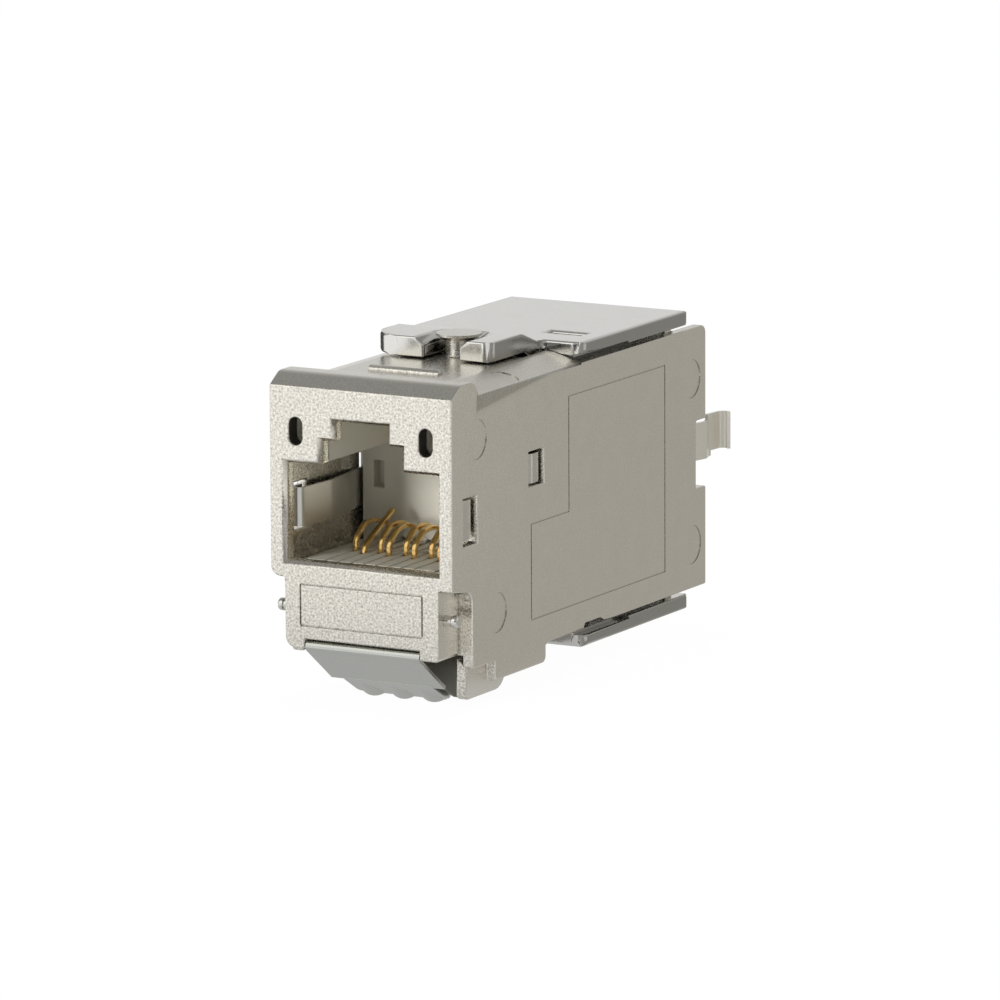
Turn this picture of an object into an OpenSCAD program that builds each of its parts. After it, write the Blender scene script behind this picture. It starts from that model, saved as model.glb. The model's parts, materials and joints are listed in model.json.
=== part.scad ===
// Shielded keystone jack: a die-cast housing with one stepped modular plug port, a slide-on rear cap that
// locks on headed posts, a sprung panel latch under the front, and the contacts, board and terminals inside.
// X runs to the right seen from the front, Y from the front face to the rear, Z up.
// The origin is the middle of the plug port's main opening, on the front face.

/* [Body] */
// Width over the side walls
body_w = 14.5; // [14.2:0.1:16]
// Length from the front face to the rear edge of the side walls
body_len = 37.8; // [37.4:0.1:42]
// Height of the roof over the middle of the port
roof_z = 8.67; // [8.5:0.01:9.5]
// Depth of the lower wall edge under the middle of the port
floor_z = 10.48; // [10.2:0.01:11.5]
// Wall thickness of the casting
wall_t = 0.87; // [0.75:0.01:0.95]
// Length of the closed front part, behind which only the side walls go on
shell_len = 19.1; // [18.4:0.1:19.6]
// Rise of the roof's crown, which the cap's fork lies on, over the wall edges
crown_rise = 0.69; // [0.6:0.01:0.75]
// Width of the crown's flat middle
crown_w = 9.4; // [9:0.1:10]

/* [Plug port] */
// Width of the main opening
port_w = 12; // [11.8:0.1:12.2]
// Height of the main opening
port_h = 6.9; // [6.8:0.1:7.2]
// Width of the lower step over the main opening
step_w = 6.4; // [6.2:0.1:7]
// Height of the lower step
step_h = 1.75; // [1.4:0.05:1.9]
// Width of the upper step
key_w = 4.2; // [4:0.1:5]
// Height of the upper step
key_h = 1.4; // [1:0.1:1.6]
// Thickness of the front plate
front_t = 1.25; // [1:0.05:1.35]
// Width of the bevel round the port's mouth
bevel_w = 0.25; // [0.15:0.01:0.3]
// Depth of the bevel round the port's mouth
bevel_depth = 0.5; // [0.3:0.05:0.6]
// Depth of the port down to the back wall of the carrier
plug_depth = 10.6; // [10.4:0.1:11]
// Distance of the oval light windows from the middle
light_x = 5.18; // [5:0.01:5.4]
// Height of the oval light windows over the middle of the port
light_z = 5.73; // [5.5:0.01:6]
// Width of an oval light window
light_w = 1.07; // [0.8:0.01:1.2]
// Height of an oval light window
light_h = 1.95; // [1.6:0.01:2.1]

/* [Front lip] */
// Rise of the lip over the roof
lip_rise = 1.05; // [0.8:0.05:1.3]
// Height of the lip's front crease over the roof
lip_crease = 0.2; // [0.1:0.05:0.4]
// Length of the lip along the roof
lip_len = 3.85; // [3.4:0.05:4.4]
// Length of the lip's sloped front
lip_slope = 1.35; // [1:0.05:1.6]
// Length of the bar across the crown
bar_len = 5.6; // [5:0.1:6.4]
// Distance of the bar behind the front face
bar_y = 6.4; // [6:0.1:7]

/* [Label block] */
// Depth of the main frame's lower edge under the middle of the port
frame_drop = 4.63; // [4.5:0.01:4.8]
// Width of the label block
block_w = 12.24; // [12:0.01:12.6]
// Depth of the block's lower edge under the middle of the port
block_drop = 9.63; // [9.5:0.01:9.9]
// Length of the block, and of the recess beside it
block_len = 2.9; // [2.6:0.1:3.2]
// Thickness of the label plate
label_t = 0.45; // [0.4:0.01:0.48]
// Width of the framed label field
label_w = 9.86; // [9:0.01:10.4]
// Height of the framed label field
label_h = 3.08; // [2.6:0.01:3.2]
// Height of the latch notch in the lower edge of the label plate
notch_h = 0.7; // [0.6:0.01:0.75]

/* [Latch] */
// Distance of the cross pin behind the front face
pin_y = 1.1; // [1.08:0.01:1.3]
// Depth of the cross pin under the middle of the port
pin_drop = 6.83; // [6.6:0.01:7]
// Diameter of the pin's shank
pin_d = 0.6; // [0.5:0.01:0.62]
// Diameter of the pin's heads
pin_head_d = 0.9; // [0.8:0.01:1]
// How far a head stands out
pin_head_len = 1.05; // [0.6:0.05:1.1]
// Width of the latch ramp
latch_w = 9.1; // [8.6:0.05:9.1]
// Thickness of the latch sheet
latch_t = 0.25; // [0.2:0.01:0.26]
// Slope of the latch ramp under level
ramp_angle = 36; // [33:1:38]
// Length of the ramp at full width
ramp_len = 4.75; // [4.4:0.05:5]
// Length of the ribbed thumb tab past the ramp
tab_len = 2.5; // [2:0.05:2.6]
// Slope of the thumb tab under level
tab_angle = 30; // [28:1:33]
// Width of the ribbed thumb tab
tab_w = 7.2; // [6:0.1:7.4]
// Height of a thumb rib
rib_h = 0.25; // [0.15:0.05:0.35]

/* [Keel and foot] */
// Depth of the keel lobes under the lower wall edge
keel_drop = 1.4; // [1:0.05:1.6]
// Where the keel lobes start behind the front face
keel_start = 6.1; // [5.6:0.1:6.6]
// Where the keel lobes end behind the front face
keel_len = 13.5; // [12.5:0.1:14]
// Depth of the foot under the lower wall edge
foot_drop = 2.35; // [2:0.05:2.5]
// Thickness of the foot
foot_t = 0.85; // [0.7:0.05:1]
// Where the foot ends behind the front face
foot_end = 8.9; // [8:0.1:9]
// Where the latch bay ends behind the front face
bay_end = 9.2; // [9.1:0.1:9.5]

/* [Side wall] */
// Height of the strip that the side windows hold
strip_h = 2.75; // [2.6:0.05:3]
// Height of the strip's middle over the middle of the port
strip_z = 0; // [-0.1:0.05:0.2]
// Height of the rear notch for the strip's tab
tab_notch_h = 4.96; // [4.6:0.01:5.2]
// Length of the rear notch
tab_notch_len = 1.5; // [1.2:0.1:1.8]
// Depth of the marking panel's groove and of the ejector marks
panel_depth = 0.06; // [0.03:0.01:0.08]
// Diameter of the round ejector marks
mark_d = 2.86; // [2.4:0.01:3]

/* [Lock post and rear cap] */
// Distance of the lock post behind the front face
post_y = 14.1; // [13.8:0.05:14.3]
// Diameter of the post's neck
post_d = 2; // [1.8:0.05:2.2]
// Diameter of the post's head
head_d = 3.25; // [3:0.05:3.4]
// Height of the post's head
head_h = 0.45; // [0.35:0.05:0.5]
// Thickness of the fork
fork_t = 1.45; // [1.3:0.01:1.6]
// Reach of the fork's round left lobe from the middle
fork_left = 5.9; // [5.4:0.1:6.2]
// Reach of the fork's right lobe from the middle
fork_right = 4; // [3.7:0.1:4.4]
// Where the fork starts behind the front face
fork_front = 11.5; // [11.2:0.1:11.7]
// Width of the fork's slot
slot_w = 2.8; // [2.6:0.05:2.9]
// Width of the countersunk edge round the fork's slot
sink_w = 0.8; // [0.7:0.02:0.9]
// Thickness of the cap's plates
plate_t = 1.1; // [0.9:0.01:1.2]
// Gap between the side walls and the cap's plates
plate_gap = 0.3; // [0.25:0.01:0.4]
// Width of the cap's plates
plate_w = 14.4; // [13.6:0.1:14.6]
// Where the wide plate starts behind the front face
plate_front = 19; // [18.6:0.1:19.3]
// Distance of the cap's rear face from the rear edge of the side walls
cap_inset = 2.6; // [2.3:0.1:2.9]
// Thickness of the cap's rear wall
cap_t = 1.1; // [0.9:0.05:1.3]
// Diameter of the cable entry
cable_d = 8.6; // [7.5:0.1:9]

/* [Contacts and terminals] */
// Spacing of the plug contacts
contact_pitch = 1.016; // [0.98:0.001:1.05]
// Width of a plug contact
contact_w = 0.38; // [0.3:0.01:0.42]
// Thickness of a plug contact
contact_t = 0.3; // [0.24:0.01:0.32]
// Height of the contact arch over the carrier's floor
contact_rise = 1.65; // [1.5:0.05:1.9]
// Thickness of the carrier's floor
carrier_floor_t = 0.84; // [0.75:0.01:0.95]
// Width of the carrier's raised floor
carrier_floor_w = 10.2; // [9.6:0.1:10.6]
// Thickness of the shield strips
strip_t = 0.25; // [0.2:0.01:0.28]
// Thickness of the circuit board
board_t = 1.2; // [1:0.05:1.4]
// Spacing of the terminals in a row
terminal_pitch = 2.8; // [2.7:0.02:2.84]
// Distance of each terminal row from the middle of the body
row_rise = 5; // [4.6:0.1:5.4]
// Thickness of a terminal blade
blade_t = 0.4; // [0.3:0.01:0.45]
// Width of a terminal blade
blade_w = 2; // [1.8:0.05:2.05]

/* [Hidden] */
$fn = 48;
// Room for cutting tools past a face
past = 1;
// Clearance between pieces that are set into each other
fit = 0.1;
// Running clearance of the latch on its pin, and seat clearance of the pin
pin_run = 0.03;
pin_seat = 0.01;

half_w = body_w / 2;
inner_w = half_w - wall_t;
mid_z = (roof_z - floor_z) / 2;
keel_z = floor_z + keel_drop;
foot_z = floor_z + foot_drop;

// Crown of the roof
crown_z = roof_z + crown_rise;
crown_end = plate_front - 0.15;
bar_d = 0.75;

// Shelf under the port, which carries the contact carrier
shelf_gap = 0.85;
shelf_past = 2;
shelf_z = port_h / 2 + shelf_gap;
shelf_len = plug_depth + shelf_past;
carrier_floor_z = -shelf_z + carrier_floor_t;
carrier_base_t = 0.5;
carrier_back_t = 1.6;
carrier_w = 2 * (inner_w - fit);
core_w = 2 * (inner_w - 0.48);

// Latch bay behind the label plate
frame_r = 0.7;
foot_lap = 0.18;
bay_w = latch_w + 0.3;
notch_w = latch_w + 0.12;
bay_top = pin_drop - pin_d / 2 - pin_run - latch_t - 0.35;
knuckle_r = pin_d / 2 + pin_run + latch_t;

// Side windows that hold the shield strips
hook_y = [1.65, 3.65];
hook_gap = 0.3;
ear_y = [11.07, 13.25];
ear_h = 2.5;
ear_z = 1;
vent_len = 4.6;
vent_y = [shell_len, shell_len + vent_len];
vent_h = 0.33;

// Rear cap
cap_rear = body_len - cap_inset;
plate_z = roof_z + plate_gap;
plate_top = plate_z + plate_t;
fork_z = crown_z + fit;
fork_top = fork_z + fork_t;
head_proud = 0.1;
rim_h = 0.18;
joggle_y = [fork_front + 4.5, plate_front - 0.5];
undercut_len = 7;
undercut_end = plate_front + undercut_len;
undercut = 0.25;
cap_wall_w = 2 * (inner_w - 0.63);
tool_slot = [[2.65, plate_front + 2.8], [5.55, plate_front + 3.9]];

// Inner stack behind the port
board_y = plug_depth + 2.8;
block_y = board_y + board_t;
block_base_t = 2;
blade_len = 7.2;
blade_slot_len = 3.4;
blade_flare_len = 1;
tail_room = 0.6;
wire_w = 1.2;
presser_reach = 2.6;
blade_end = block_y + blade_len;
guard_end = blade_end + 0.4;
manager_y = guard_end + 0.8;
core_h = roof_z + floor_z - 2 * wall_t - 0.8;

contact_count = 8;
row_count = 4;
straight_contact = 2;
foot_y = 5.15;
foot_stagger = 0.32;

// Length of a contact behind its foot, with room for its free end before the back wall
end_room = 1.05;
contact_reach = plug_depth - foot_y - end_room;

// Sub-part names
contact_names = [for (i = [1 : contact_count]) str("contact_", i)];
terminal_names = [for (i = [1 : contact_count]) str("terminal_", i)];

// Colours
cast_metal = [0.80, 0.79, 0.75];
cap_metal = [0.83, 0.82, 0.80];
spring_steel = [0.66, 0.67, 0.65];
strip_metal = [0.72, 0.71, 0.66];
carrier_plastic = [0.80, 0.79, 0.74];
gold = [0.83, 0.65, 0.30];
board_green = [0.10, 0.34, 0.20];
block_plastic = [0.90, 0.90, 0.88];
tin = [0.74, 0.75, 0.76];

// Flat geometry

function xy(p) = [p[0], p[1]];
function unit(v) = v / norm(v);
function turn(a) = a > 180 ? a - 360 : a < -180 ? a + 360 : a;

// Points of a circular arc
function arc(c, r, a0, a1, n = 8) = [for (i = [0 : n]) let (a = a0 + (a1 - a0) * i / n) c + r * [cos(a), sin(a)]];

// A corner at b between a and c, rounded with radius r
function corner(a, b, c, r, n) =
    r <= 0 ? [b] :
    let (
        u = unit(a - b),
        w = unit(c - b),
        half = acos(u * w) / 2,
        m = b + unit(u + w) * r / sin(half),
        p = b + u * r / tan(half) - m,
        q = b + w * r / tan(half) - m,
        start = atan2(p.y, p.x),
        sweep = turn(atan2(q.y, q.x) - start)
    )
    arc(m, r, start, start + sweep, n);

// A closed outline from corners [x, y, radius]
function outline(p, n = 6) = [
    for (i = [0 : len(p) - 1])
        each corner(xy(p[(i + len(p) - 1) % len(p)]), xy(p[i]), xy(p[(i + 1) % len(p)]), p[i][2], n)
];

// An open path from corners [x, y, radius]
function path(p, n = 5) = [
    for (i = [0 : len(p) - 1])
        each (i == 0 || i == len(p) - 1) ? [xy(p[i])] : corner(xy(p[i - 1]), xy(p[i]), xy(p[i + 1]), p[i][2], n)
];

// The unit vector across a path at point i, lengthened at a bend so that the strip keeps its thickness
function across(p, i) =
    let (
        a = i == 0 ? unit(p[1] - p[0]) : unit(p[i] - p[i - 1]),
        b = i == len(p) - 1 ? a : unit(p[i + 1] - p[i]),
        m = unit([-a.y - b.y, a.x + b.x])
    )
    m / (m * [-a.y, a.x]);

// The outline of a strip of thickness t along a path
function strip(p, t) = concat(
    [for (i = [0 : len(p) - 1]) p[i] + across(p, i) * t / 2],
    [for (i = [len(p) - 1 : -1 : 0]) p[i] - across(p, i) * t / 2]
);

function box_outline(w, z0, z1, r = 0) = [[-w / 2, z0, r], [w / 2, z0, r], [w / 2, z1, r], [-w / 2, z1, r]];

// Extrusions of a flat outline along one axis, and a box between two corners

module along_x(x0, x1) {
    translate([x0, 0, 0]) rotate([90, 0, 90]) linear_extrude(x1 - x0) children();
}

module along_y(y0, y1) {
    translate([0, y1, 0]) rotate([90, 0, 0]) linear_extrude(y1 - y0) children();
}

module along_z(z0, z1) {
    translate([0, 0, z0]) linear_extrude(z1 - z0) children();
}

module box(lo, hi) {
    translate(lo) cube(hi - lo);
}

module rod_x(x0, x1, y, z, d) {
    translate([x0, y, z]) rotate([0, 90, 0]) cylinder(h = x1 - x0, d = d);
}

module rod_y(y0, y1, x, z, d) {
    translate([x, y1, z]) rotate([90, 0, 0]) cylinder(h = y1 - y0, d = d);
}

module both_sides() {
    children();
    mirror([1, 0, 0]) children();
}

// Copies upside down about the middle of the body
module below() {
    translate([0, 0, 2 * mid_z]) mirror([0, 0, 1]) children();
}

// Housing

// Side wall seen from the right: front edge, recess, keel lobe, vent and the rear notch
notch_top = strip_z + 1.75;
side_wall = [
    [0, roof_z, 0],
    [0, -frame_drop, 0],
    [block_len, -frame_drop - 0.4, 0.9],
    [block_len, -floor_z, 0.2],
    [keel_start, -floor_z, 0.2],
    [keel_start, -keel_z, 0.3],
    [keel_len, -keel_z, 0.5],
    [keel_len, -floor_z, 0.25],
    [vent_y[0], -floor_z, 0],
    [vent_y[0] + 0.25, -floor_z + vent_h, 0.15],
    [vent_y[0] + 2.6, -floor_z + vent_h, 0.3],
    [vent_y[0] + 3.2, -floor_z + 0.05, 0.3],
    [vent_y[1], -floor_z, 0],
    [body_len, -floor_z, 0.2],
    [body_len, notch_top - tab_notch_h, 0.15],
    [body_len - tab_notch_len, notch_top - tab_notch_h, 0.2],
    [body_len - tab_notch_len, notch_top, 0.2],
    [body_len, notch_top, 0.15],
    [body_len, roof_z, 0.6]
];

// Lip profile: a sloped front over the crease, a flat top and a round back
lip_top = roof_z + lip_rise;
lip = [
    [0, roof_z - wall_t, 0], [0, roof_z + lip_crease, 0],
    [lip_slope, lip_top, 1.2], [lip_len, lip_top, 1.1], [lip_len, roof_z - wall_t, 0]
];

// Roof in section: level wall edges and a crown with gently sloped sides
crown = [
    [-half_w, roof_z - wall_t, 0], [half_w, roof_z - wall_t, 0], [half_w, roof_z, 0],
    [crown_w / 2, crown_z, 2], [-crown_w / 2, crown_z, 2], [-half_w, roof_z, 0]
];

// Stepped opening of the plug port
port = [
    [-port_w / 2, -port_h / 2], [port_w / 2, -port_h / 2],
    [port_w / 2, port_h / 2], [step_w / 2, port_h / 2],
    [step_w / 2, port_h / 2 + step_h], [key_w / 2, port_h / 2 + step_h],
    [key_w / 2, port_h / 2 + step_h + key_h], [-key_w / 2, port_h / 2 + step_h + key_h],
    [-key_w / 2, port_h / 2 + step_h], [-step_w / 2, port_h / 2 + step_h],
    [-step_w / 2, port_h / 2], [-port_w / 2, port_h / 2]
];

// The port's three stacked openings: width, lower edge and upper edge
port_steps = [
    [port_w, -port_h / 2, port_h / 2],
    [step_w, 0, port_h / 2 + step_h],
    [key_w, 0, port_h / 2 + step_h + key_h]
];

// Bevel round the mouth of the port
module port_bevel() {
    skin = 0.01;
    for (p = port_steps)
        hull() {
            along_y(-skin, 0)
                polygon([for (c = box_outline(p[0] + 2 * bevel_w, p[1] - bevel_w, p[2] + bevel_w)) xy(c)]);
            along_y(bevel_depth, bevel_depth + skin)
                polygon([for (c = box_outline(p[0], p[1], p[2])) xy(c)]);
        }
}

// Oval light window along Y
module light_window(y0, y1, x) {
    flat = light_h - light_w;
    box([x - light_w / 2, y0, light_z - flat / 2], [x + light_w / 2, y1, light_z + flat / 2]);
    for (s = [-1, 1])
        rod_y(y0, y1, x, light_z + s * flat / 2, light_w);
}

// Crown and headed post that the cap's fork rides on and locks to
module lock_post(crown_start) {
    top = fork_top + head_proud;
    difference() {
        along_y(crown_start, crown_end) polygon(outline(crown));
        box([-fork_left - 0.4, joggle_y[0] - 0.6, roof_z], [fork_right + 0.4, crown_end + past, crown_z + past]);
    }
    translate([0, post_y, roof_z]) cylinder(h = top - head_h - roof_z, d = post_d);
    translate([0, post_y, top - head_h]) cylinder(h = head_h - rim_h, d1 = post_d, d2 = head_d);
    translate([0, post_y, top - rim_h]) cylinder(h = rim_h, d = head_d);
}

module housing_mass() {
    both_sides()
        along_x(inner_w, half_w) polygon(outline(side_wall));
    box([-half_w, 0, -frame_drop], [half_w, front_t, roof_z]);
    box([-half_w, 0, roof_z - wall_t], [half_w, shell_len, roof_z]);
    along_x(-half_w, half_w) polygon(outline(lip));
    along_y(0, block_len + wall_t)
        polygon(outline([
            [-block_w / 2, -block_drop, 0.8], [block_w / 2, -block_drop, 0.25],
            [block_w / 2, -frame_drop + 0.3, 0], [-block_w / 2, -frame_drop + 0.3, 0]
        ]));
    // Bridges from the block's cheeks to the side walls
    both_sides()
        box([block_w / 2 - 0.3, block_len, -block_drop + 0.05], [inner_w + 0.1, block_len + wall_t, -frame_drop]);
    // Shelf under the port, wall behind the latch bay and floor of the closed part
    box([-inner_w - 0.1, 0, -frame_drop], [inner_w + 0.1, block_len + 0.1, -shelf_z]);
    box([-inner_w - 0.1, block_len, -shelf_z - wall_t], [inner_w + 0.1, shelf_len, -shelf_z]);
    box([-inner_w - 0.1, bay_end, -keel_z], [inner_w + 0.1, bay_end + wall_t, -shelf_z - wall_t / 2]);
    box([-inner_w - 0.1, bay_end, -floor_z], [inner_w + 0.1, shell_len, -floor_z + wall_t]);
    // Foot beside the latch, under the right wall
    along_x(inner_w + foot_lap - foot_t, inner_w + foot_lap)
        polygon(outline([
            [block_len + 0.3, -floor_z + 0.6, 0], [block_len + 0.3, -foot_z, 0.4],
            [foot_end, -foot_z, 1.5], [foot_end, -floor_z + 0.6, 0]
        ]));
    lock_post(lip_len - 1);
    below() lock_post(bay_end + 0.3);
    rod_x(-bar_len / 2, bar_len / 2, bar_y, crown_z - 0.05, bar_d);
}

// Marking panel on the right wall, stepped round its lower front corner, with its edge moved inwards
panel_y = [11.3, 16.85, 31.45];
panel_z = [-8.53, -1.58, 6.67];
panel_groove = 0.12;
function panel(inset) = [
    [panel_y[1] + inset, panel_z[1] - inset], [panel_y[1] + inset, panel_z[2] - inset],
    [panel_y[2] - inset, panel_z[2] - inset], [panel_y[2] - inset, panel_z[0] + inset],
    [panel_y[0] + inset, panel_z[0] + inset], [panel_y[0] + inset, panel_z[1] - inset]
];
// Ejector marks on the right wall, and one on the roof's right slope
marks = [[3.6, 5.6], [6.35, -7.08], [35.5, 4.99], [35.6, -7.23]];
roof_mark = [6.1, 9.65];
roof_mark_d = 2.1;
roof_slope = atan(crown_rise / (half_w - crown_w / 2));

// Narrow frame groove round the label field
module label_groove() {
    groove = 0.14;
    mid = -(frame_drop + block_drop - notch_h) / 2 + 0.28;
    along_y(-past, 0.12)
        difference() {
            polygon(outline(box_outline(label_w, mid - label_h / 2, mid + label_h / 2, 0.2), 3));
            square_w = label_w - 2 * groove;
            square_h = label_h - 2 * groove;
            translate([0, mid]) square([square_w, square_h], center = true);
        }
}

module housing() {
    color(cast_metal)
        difference() {
            housing_mass();
            along_y(-past, front_t + 0.1) polygon(port);
            port_bevel();
            for (s = [-1, 1])
                light_window(-past, front_t + past, s * light_x);
            // Round lower left corner of the main frame, in front of the recess
            mirror([1, 0, 0])
                along_y(-past, block_len - 0.7)
                    polygon(concat(
                        [[half_w + past, -frame_drop - 0.1], [half_w - frame_r, -frame_drop - 0.1]],
                        arc([half_w - frame_r, -frame_drop + frame_r], frame_r, -90, 0, 6),
                        [[half_w + past, -frame_drop + frame_r]]
                    ));
            // Latch bay behind the label plate, its notch and the holes for the cross pin
            box([-bay_w / 2, label_t, -block_drop - past], [bay_w / 2, block_len + past, -bay_top]);
            box([-notch_w / 2, -past, -block_drop - past], [notch_w / 2, label_t + past, -block_drop + notch_h]);
            rod_x(-half_w, half_w, pin_y, -pin_drop, pin_d + 2 * pin_seat);
            label_groove();
            // Windows for the hooks and ears of the shield strips
            both_sides() {
                box([inner_w - past, hook_y[0], strip_z - strip_h / 2 - hook_gap],
                    [half_w + past, hook_y[1], strip_z + strip_h / 2 + hook_gap]);
                box([inner_w - past, ear_y[0], ear_z], [half_w + past, ear_y[1], ear_z + ear_h]);
            }
            along_x(half_w - panel_depth, half_w + past)
                difference() {
                    polygon(panel(0));
                    polygon(panel(panel_groove));
                }
            for (m = marks)
                rod_x(half_w - panel_depth, half_w + past, m[0], m[1], mark_d);
            translate([roof_mark.x, roof_mark.y, roof_z + (half_w - roof_mark.x) * tan(roof_slope)])
                rotate([0, roof_slope, 0])
                    translate([0, 0, -panel_depth])
                        cylinder(h = past, d = roof_mark_d);
        }
}

// Contact carrier

// Place of contact i, counted from 1 at the left seen from the front
function contact_x(i) = (i - (contact_count + 1) / 2) * contact_pitch;
function contact_foot(i) = foot_y + (i % 2 == 0 ? -foot_stagger : foot_stagger);
wire_z = carrier_floor_z - 0.37;

// Passage for the plug and its latch behind the front plate
passage = [
    [-port_w / 2, -port_h / 2], [port_w / 2, -port_h / 2], [port_w / 2, port_h / 2], [step_w / 2, port_h / 2],
    [step_w / 2, port_h / 2 + step_h + key_h], [-step_w / 2, port_h / 2 + step_h + key_h],
    [-step_w / 2, port_h / 2], [-port_w / 2, port_h / 2]
];
shoulder_z = 2.45;
guide_w = 0.26;
guide_depth = 0.04;
back_slot_x = 4.6;
back_slot_w = 0.84;
back_slot_z = [0.1, 2];
back_slot_depth = 1;

module carrier_mass() {
    back = plug_depth + carrier_back_t;
    box([-carrier_w / 2, front_t + fit, -shelf_z], [carrier_w / 2, back, -shelf_z + carrier_base_t]);
    box([-carrier_floor_w / 2, front_t + fit, -shelf_z], [carrier_floor_w / 2, back, carrier_floor_z]);
    box([-core_w / 2, plug_depth, -shelf_z], [core_w / 2, back, roof_z - wall_t - fit]);
    // Shoulders over the shield strips
    box([-carrier_w / 2, plug_depth, shoulder_z], [carrier_w / 2, plug_depth + 0.5, port_h / 2 + 2 * fit]);
    box([-carrier_w / 2, front_t + fit, port_h / 2 + fit],
        [carrier_w / 2, back, roof_z - wall_t - fit]);
}

module contact_carrier() {
    color(carrier_plastic)
        difference() {
            carrier_mass();
            // Passage over the floor, and dark channels behind the light windows
            intersection() {
                along_y(0, plug_depth) polygon(passage);
                box([-half_w, 0, carrier_floor_z], [half_w, plug_depth, roof_z]);
            }
            for (s = [-1, 1])
                light_window(0, plug_depth - 0.8, s * light_x);
            // Grooves that the contact wires lie in, and the shallow guide lines in front of them
            for (i = [1 : contact_count]) {
                box([contact_x(i) - contact_w / 2 - 0.06, contact_foot(i) - 0.3, wire_z - contact_t / 2],
                    [contact_x(i) + contact_w / 2 + 0.06, plug_depth + past * 3, carrier_floor_z + 0.15]);
                box([contact_x(i) - guide_w / 2, 0, carrier_floor_z - guide_depth],
                    [contact_x(i) + guide_w / 2, contact_foot(i), carrier_floor_z + guide_depth]);
            }
            // Slots in the back wall
            for (s = [-1, 1])
                box([s * back_slot_x - back_slot_w / 2, plug_depth - past, back_slot_z[0]],
                    [s * back_slot_x + back_slot_w / 2, plug_depth + back_slot_depth, back_slot_z[1]]);
        }
}

// Plug contacts

// Arched contact: tail from the board, foot in the floor, rise, arch and a free end before the back wall
function arched(foot) = let (top = carrier_floor_z + contact_rise) [
    [foot, wire_z, 0.3], [foot + 0.1, top - 0.8, 0.8],
    [foot + contact_reach * 3 / 11, top, contact_reach * 3 / 11],
    [foot + contact_reach * 13 / 22, top + 0.15, contact_reach * 5 / 11],
    [foot + contact_reach, top - 0.5]
];

// Straight contact: the same foot and a flat free end, a little shorter, that rises at a steady slope
straight_less = 0.2;
straight_slope = 39 / 82;
knee = [0.1, 0.45];
function straight(foot) = [
    [foot, wire_z, 0.3], [foot + knee.x, carrier_floor_z + knee.y, 0.8],
    [foot + contact_reach - straight_less,
     carrier_floor_z + knee.y + (contact_reach - straight_less - knee.x) * straight_slope]
];

// Tails of even contacts step up behind the carrier, so that the holes in the board are staggered
tail_step = 1;
tail_bend = 0.9;
function tail_z(i) = wire_z + (i % 2 == 0 ? tail_step : 0);
function tail(i) = let (end = block_y + 0.5, bend = board_y - tail_bend)
    i % 2 == 0 ? [[end, tail_z(i)], [bend + 0.35, tail_z(i), 0.2], [bend, wire_z, 0.2]] : [[end, wire_z]];

module contact(i) {
    run = i == straight_contact ? straight(contact_foot(i)) : arched(contact_foot(i));
    color(gold)
        along_x(contact_x(i) - contact_w / 2, contact_x(i) + contact_w / 2)
            polygon(strip(path(concat(tail(i), run)), contact_t));
}

// Shield strips

// Plan of the right strip: hook in the front window, fold, bowed spring, long run and waved rear tab
strip_run_x = inner_w - strip_t / 2 - 0.03;
strip_plan = [
    [half_w - 0.52, hook_y[1] - 0.3, 0], [half_w - 0.52, hook_y[0] + 0.28, 0.38],
    [half_w - 1.35, hook_y[0] + 0.28, 0.38], [half_w - 1.62, 5.6, 4], [half_w - 1.45, 8.4, 3],
    [strip_run_x, 10.1, 1], [strip_run_x, body_len - 1.2, 0.5], [half_w - 0.75, body_len - 0.6, 0.3],
    [half_w - 0.45, body_len + 0.7, 0.9], [half_w - 0.75, body_len + 1.7, 0.3], [half_w - 0.72, body_len + 1.9, 0]
];

// End of the rear tab: it goes on higher up and turns outwards
hook_start = body_len + 1.5;
hook_len = 1.6;
hook_bow = 0.5;
tab_end_plan = [
    [half_w - 0.75, hook_start, 0], [half_w - 0.6, hook_start + hook_len, 0.3],
    [half_w - 0.1, hook_start + hook_len + hook_bow, 0.3], [half_w + 0.25, hook_start + hook_len, 0]
];
tab_end_z = [strip_z - strip_h / 2 + 0.4, strip_z + strip_h / 2 + 0.36];

// Ear lanced outwards into the upper side window
ear_plan = [
    [strip_run_x, ear_y[0] + 0.2, 0], [half_w - 0.45, ear_y[0] + 1.1, 0.3],
    [half_w - 0.45, ear_y[1] - 0.25, 0]
];

module shield_spring_right() {
    z0 = strip_z - strip_h / 2;
    z1 = strip_z + strip_h / 2;
    color(strip_metal) {
        along_z(z0, z1) polygon(strip(path(strip_plan), strip_t));
        along_z(ear_z + fit, ear_z + ear_h - 0.3) polygon(strip(path(ear_plan), strip_t));
        along_z(tab_end_z[0], tab_end_z[1]) polygon(strip(path(tab_end_plan), strip_t));
    }
}

module shield_spring_left() {
    mirror([1, 0, 0]) shield_spring_right();
}

// Board and terminals

function terminal_x(i) = ((i - 1) % row_count - (row_count - 1) / 2) * terminal_pitch;
function terminal_z(i) = mid_z + (i <= row_count ? row_rise : -row_rise);
terminal_tail_w = 0.6;

module circuit_board() {
    color(board_green)
        difference() {
            box([-core_w / 2, board_y, mid_z - core_h / 2], [core_w / 2, block_y, mid_z + core_h / 2]);
            for (i = [1 : contact_count]) {
                rod_y(board_y - past, block_y + past, contact_x(i), tail_z(i), norm([contact_w, contact_t]) + fit);
                rod_y(board_y - past, block_y + past, terminal_x(i), terminal_z(i),
                    norm([terminal_tail_w, blade_t]) + fit);
            }
        }
}

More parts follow.
